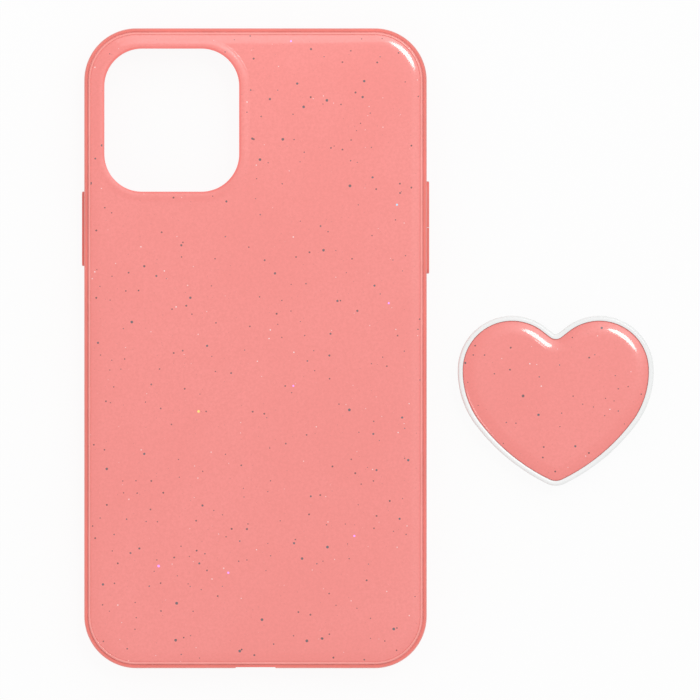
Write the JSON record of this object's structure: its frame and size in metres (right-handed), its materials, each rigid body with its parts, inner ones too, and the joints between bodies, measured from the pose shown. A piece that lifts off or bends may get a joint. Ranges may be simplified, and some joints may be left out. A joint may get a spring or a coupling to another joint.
{
  "type": "phone case",
  "caption": "Slim phone case with speckled resin back, raised camera window and side keys, with a matching heart-shaped pop-out phone grip resting beside it.",
  "frame": {"origin": "centre of the case's front rim, the plane on which the case and the grip rest", "axes": "+Z out of the case's back, +Y towards the camera end, +X to the right as seen from behind, towards the volume key"},
  "size_m": [0.132, 0.1476, 0.0117],
  "materials": {
    "soft_coral": "soft moulded frame, satin gloss",
    "hard_coral": "stiff moulded plate, gloss",
    "speckled_resin": "poured glossy resin with fine dark, white and glitter flecks",
    "window_liner": "thin moulded liner, gloss",
    "heart_resin": "poured glossy resin with fine dark, white and glitter flecks",
    "white_tray": "white moulded plastic, gloss",
    "soft_white": "soft white elastomer, satin",
    "white_base": "white moulded plastic, fine matt",
    "adhesive": "clear-grey foam adhesive",
    "liner_paper": "coated paper"
  },
  "bodies": {
    "case": {"bumper_frame": "soft_coral", "back_shell": "hard_coral", "resin_panel": "speckled_resin", "camera_guard": "window_liner"},
    "power_key": {"power_button": "soft_coral"},
    "volume_up_key": {"volume_up_button": "soft_coral"},
    "volume_down_key": {"volume_down_button": "soft_coral"},
    "grip_base": {"platform": "white_base", "retaining_ring": "white_base", "accordion_foot": "soft_white", "lower_web": "soft_white", "adhesive_pad": "adhesive", "release_liner": "liner_paper"},
    "grip_ring": {"accordion_ring": "soft_white", "upper_web": "soft_white"},
    "grip_hub": {"accordion_hub": "soft_white"},
    "grip_top": {"top_boss": "white_tray", "heart_plate": "white_tray", "heart_resin": "heart_resin"}
  },
  "joints": [
    {"name": "power_press", "type": "slide", "parent": "case", "child": "power_key", "axis": [1, 0, 0], "range_m": [0, 0.0004], "stiffness_N_per_m": 3000},
    {"name": "volume_up_press", "type": "slide", "parent": "case", "child": "volume_up_key", "axis": [-1, 0, 0], "range_m": [0, 0.0004], "stiffness_N_per_m": 3000},
    {"name": "volume_down_press", "type": "slide", "parent": "case", "child": "volume_down_key", "axis": [-1, 0, 0], "range_m": [0, 0.0004], "stiffness_N_per_m": 3000},
    {"name": "grip_lift", "type": "slide", "parent": "case", "child": "grip_base", "axis": [0, 0, 1], "range_m": [0, 0.04]},
    {"name": "lower_pop", "type": "slide", "parent": "grip_base", "child": "grip_ring", "axis": [0, 0, 1], "range_m": [0, 0.0062], "deforming": ["lower_web"]},
    {"name": "upper_pop", "type": "slide", "parent": "grip_ring", "child": "grip_hub", "axis": [0, 0, 1], "range_m": [0, 0.0062], "deforming": ["upper_web"]},
    {"name": "heart_turn", "type": "hinge", "parent": "grip_hub", "child": "grip_top", "pos_m": [0.0693, -0.0129, 0.00529], "axis": [0, 0, 1], "continuous": true}
  ]
}
